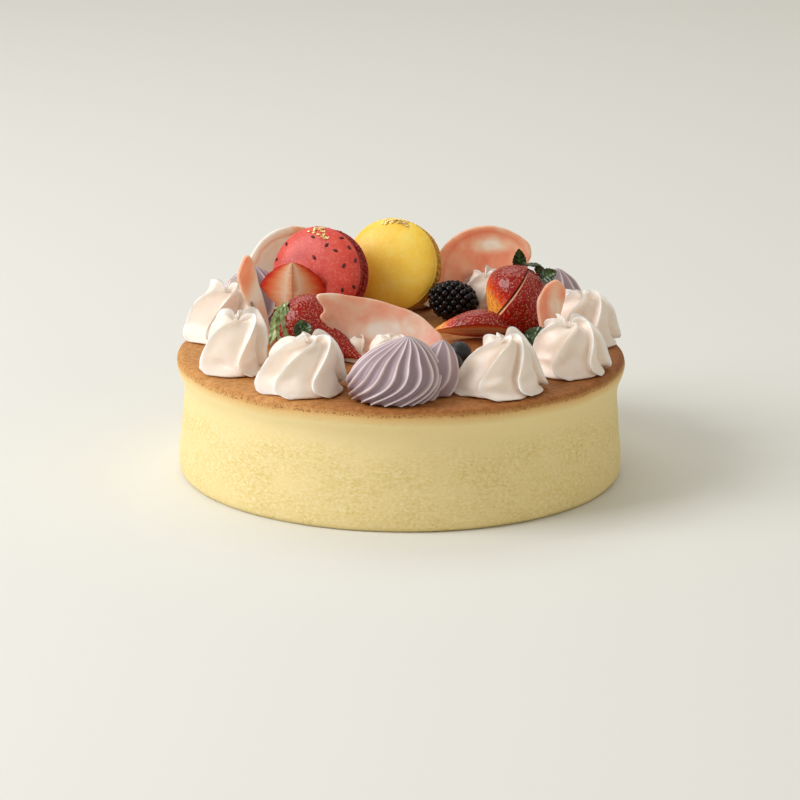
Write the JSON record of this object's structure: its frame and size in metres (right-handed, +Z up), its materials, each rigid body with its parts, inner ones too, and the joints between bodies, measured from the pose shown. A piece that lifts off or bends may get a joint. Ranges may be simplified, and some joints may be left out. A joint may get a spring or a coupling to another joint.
{
  "type": "japanese cheesecake",
  "caption": "Round lofty souffle cheesecake with a browned top, dressed with piped cream, upright macarons, cut strawberries, dark berries and curved marbled chocolate.",
  "frame": {"origin": "centre of the cake's flat underside", "axes": "+Z up through the middle of the cake, -Y towards the front of the dressing, where the large lavender cream swirl is, +X to the right when seen from the front"},
  "size_m": [0.2032, 0.2028, 0.1001],
  "materials": {
    "sponge": "soft pale yellow sponge with a browned top",
    "white_cream": "smooth piped cream with a soft sheen",
    "lavender_cream": "smooth piped cream, greyed lavender",
    "marbled_chocolate": "coral and pale pink marbling, satin",
    "red_shell": "matt baked shell with dark seeds and gold flakes",
    "yellow_shell": "matt baked shell with gold flakes",
    "red_filling": "soft filling",
    "yellow_filling": "soft filling",
    "strawberry": "glossy fresh fruit with pale seeds",
    "bramble": "glossy near-black fruit",
    "blueberry": "dark skin with a pale bloom",
    "leaf": "fresh green leaf"
  },
  "bodies": {
    "root": {"blueberry_left": "blueberry", "blueberry_right": "blueberry", "cake": "sponge", "chocolate_back_left": "marbled_chocolate", "chocolate_back_right": "marbled_chocolate", "chocolate_front": "marbled_chocolate", "chocolate_left": "marbled_chocolate", "chocolate_right": "marbled_chocolate", "cream_back": "white_cream", "cream_back_left": "white_cream", "cream_back_right": "white_cream", "cream_front_left": "white_cream", "cream_front_right": "white_cream", "cream_inner_back": "white_cream", "cream_inner_left": "white_cream", "cream_inner_right": "white_cream", "cream_left": "white_cream", "cream_left_front": "white_cream", "cream_right": "white_cream", "cream_right_front": "white_cream", "dark_bramble": "bramble", "lavender_back_left": "lavender_cream", "lavender_back_right": "lavender_cream", "lavender_front": "lavender_cream", "lavender_front_small": "lavender_cream", "red_macaron_back_shell": "red_shell", "red_macaron_filling": "red_filling", "red_macaron_front_shell": "red_shell", "sprig_left": "leaf", "sprig_right": "leaf", "strawberry_fan_leaves": "leaf", "strawberry_fan_left": "strawberry", "strawberry_fan_right": "strawberry", "strawberry_half": "strawberry", "strawberry_quarter_left": "strawberry", "strawberry_quarter_right": "strawberry", "strawberry_whole": "strawberry", "strawberry_whole_leaves": "leaf", "yellow_macaron_back_shell": "yellow_shell", "yellow_macaron_filling": "yellow_filling", "yellow_macaron_front_shell": "yellow_shell"}
  },
  "joints": []
}
